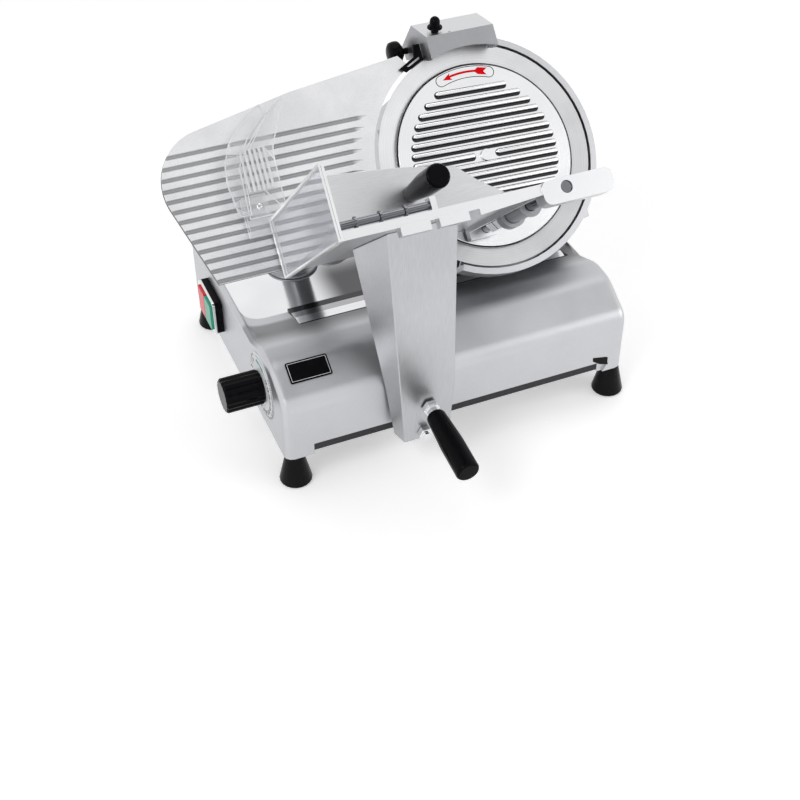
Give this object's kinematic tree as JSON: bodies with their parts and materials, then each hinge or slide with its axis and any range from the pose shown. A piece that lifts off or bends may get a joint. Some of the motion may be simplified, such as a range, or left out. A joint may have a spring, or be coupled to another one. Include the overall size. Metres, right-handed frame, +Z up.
{
  "type": "meat slicer",
  "caption": "Gravity-feed slicer: tilted disc blade, thickness plate with dial knob, sliding food carriage with pusher, cast base on rubber feet.",
  "frame": {"origin": "centre of the bounding box, on the plane the four feet stand on", "axes": "+X along the carriage's travel to the operator's right, +Y to the rear, +Z up"},
  "size_m": [0.4966, 0.5374, 0.4362],
  "materials": {
    "aluminium": "anodised, satin",
    "polished": "polished",
    "blade_steel": "hard-chromed ground steel",
    "chrome": "plated",
    "stainless": "brushed",
    "dark_steel": "satin black",
    "black_plastic": "moulded, glossy",
    "rubber": "satin",
    "white_print": "printed plate",
    "clear": "clear moulded",
    "red": "moulded",
    "green": "moulded",
    "stone": "abrasive, grey"
  },
  "bodies": {
    "base": {"base_casting": "aluminium", "bottom_cover": "stainless", "foot_front_left": "rubber", "foot_front_right": "rubber", "foot_rear_left": "rubber", "foot_rear_right": "rubber", "deck_strip": "stainless", "badge_plate": "black_plastic", "cable_gland": "black_plastic", "carriage_rod": "chrome", "guide_bar": "dark_steel", "dial_plate": "white_print", "switch_housing": "black_plastic", "switch_bezel": "chrome", "pedestal": "aluminium", "motor_cover": "aluminium", "motor": "dark_steel", "blade_housing": "aluminium", "blade_bearing": "dark_steel", "blade_cover": "polished", "slice_deflector": "stainless", "gauge_post": "aluminium", "sharpener_rod": "chrome", "sharpener_foot": "aluminium", "drive_belt": "rubber"},
    "blade": {"blade": "blade_steel", "blade_shaft": "stainless", "driven_pulley": "aluminium"},
    "motor_rotor": {"motor_pulley": "dark_steel"},
    "thickness_knob": {"thickness_knob": "black_plastic", "knob_spindle": "stainless"},
    "gauge": {"gauge_plate": "aluminium", "gauge_boss": "aluminium", "gauge_rod": "chrome", "gauge_yoke": "dark_steel"},
    "carriage": {"slide_block": "aluminium", "carriage_arm": "aluminium", "handle_nut": "chrome", "handle": "black_plastic", "arm_bolt": "chrome", "tray": "aluminium", "side_plate": "clear", "tray_rod": "chrome", "wing_guard": "clear", "wing_bracket": "clear", "pusher_rod": "chrome"},
    "pusher_slide": {"pusher_sleeve": "aluminium", "pusher_nut_inner": "chrome", "pusher_nut_outer": "chrome"},
    "pusher": {"pusher_hub": "aluminium", "pusher_plate": "aluminium", "spike_plate": "stainless", "pusher_grip": "black_plastic"},
    "start_button": {"start_button": "green"},
    "stop_button": {"stop_button": "red"},
    "sharpener": {"sharpener_cover": "polished"},
    "grinding_stone": {"grinding_stone": "stone"},
    "honing_stone": {"honing_stone": "stone"},
    "sharpener_button": {"sharpener_button": "black_plastic"},
    "lock_knob": {"lock_knob": "black_plastic"}
  },
  "joints": [
    {"name": "blade_spin", "type": "hinge", "parent": "base", "child": "blade", "pos_m": [0.11365, 0.00169, 0.285], "axis": [0, -0.7431, 0.6691], "continuous": true},
    {"name": "motor_spin", "type": "hinge", "parent": "base", "child": "motor_rotor", "pos_m": [0.16565, 0.03381, 0.32067], "axis": [0, -0.7431, 0.6691], "continuous": true},
    {"name": "gauge_slide", "type": "slide", "parent": "base", "child": "gauge", "axis": [0, 0.7431, -0.6691], "range_m": [0, 0.017]},
    {"name": "thickness_turn", "type": "hinge", "parent": "base", "child": "thickness_knob", "pos_m": [-0.18535, -0.06331, 0.097], "axis": [-1, 0, 0], "range_deg": [0, 340.1]},
    {"name": "carriage_slide", "type": "slide", "parent": "base", "child": "carriage", "axis": [1, 0, 0], "range_m": [-0.09, 0.19]},
    {"name": "pusher_slide", "type": "slide", "parent": "carriage", "child": "pusher_slide", "axis": [0, -0.7431, 0.6691], "range_m": [-0.023, 0.069]},
    {"name": "pusher_swing", "type": "hinge", "parent": "pusher_slide", "child": "pusher", "pos_m": [0.08515, -0.05184, 0.22555], "axis": [0, 0.7431, -0.6691], "range_deg": [0, 100]},
    {"name": "start_press", "type": "slide", "parent": "base", "child": "start_button", "axis": [1, 0, 0], "range_m": [0, 0.002], "stiffness_N_per_m": 300},
    {"name": "stop_press", "type": "slide", "parent": "base", "child": "stop_button", "axis": [1, 0, 0], "range_m": [0, 0.002], "stiffness_N_per_m": 300},
    {"name": "sharpener_lift", "type": "slide", "parent": "base", "child": "sharpener", "axis": [0, 0.6691, 0.7431], "range_m": [0, 0.028]},
    {"name": "grinding_spin", "type": "hinge", "parent": "sharpener", "child": "grinding_stone", "pos_m": [0.12765, 0.10429, 0.38101], "axis": [0, -0.7431, 0.6691], "continuous": true},
    {"name": "honing_spin", "type": "hinge", "parent": "sharpener", "child": "honing_stone", "pos_m": [0.09965, 0.08757, 0.38934], "axis": [0, -0.7431, 0.6691], "continuous": true},
    {"name": "sharpener_press", "type": "slide", "parent": "sharpener", "child": "sharpener_button", "axis": [0, 0, -1], "range_m": [0, 0.003], "stiffness_N_per_m": 200},
    {"name": "lock_turn", "type": "hinge", "parent": "sharpener", "child": "lock_knob", "pos_m": [0.05665, 0.12759, 0.36205], "axis": [-1, 0, 0], "continuous": true}
  ],
  "couplings": [
    {"joint": "motor_spin", "follows": "blade_spin", "ratio": 3.2857},
    {"joint": "thickness_turn", "follows": "gauge_slide", "rad_per_m": 349.07}
  ]
}
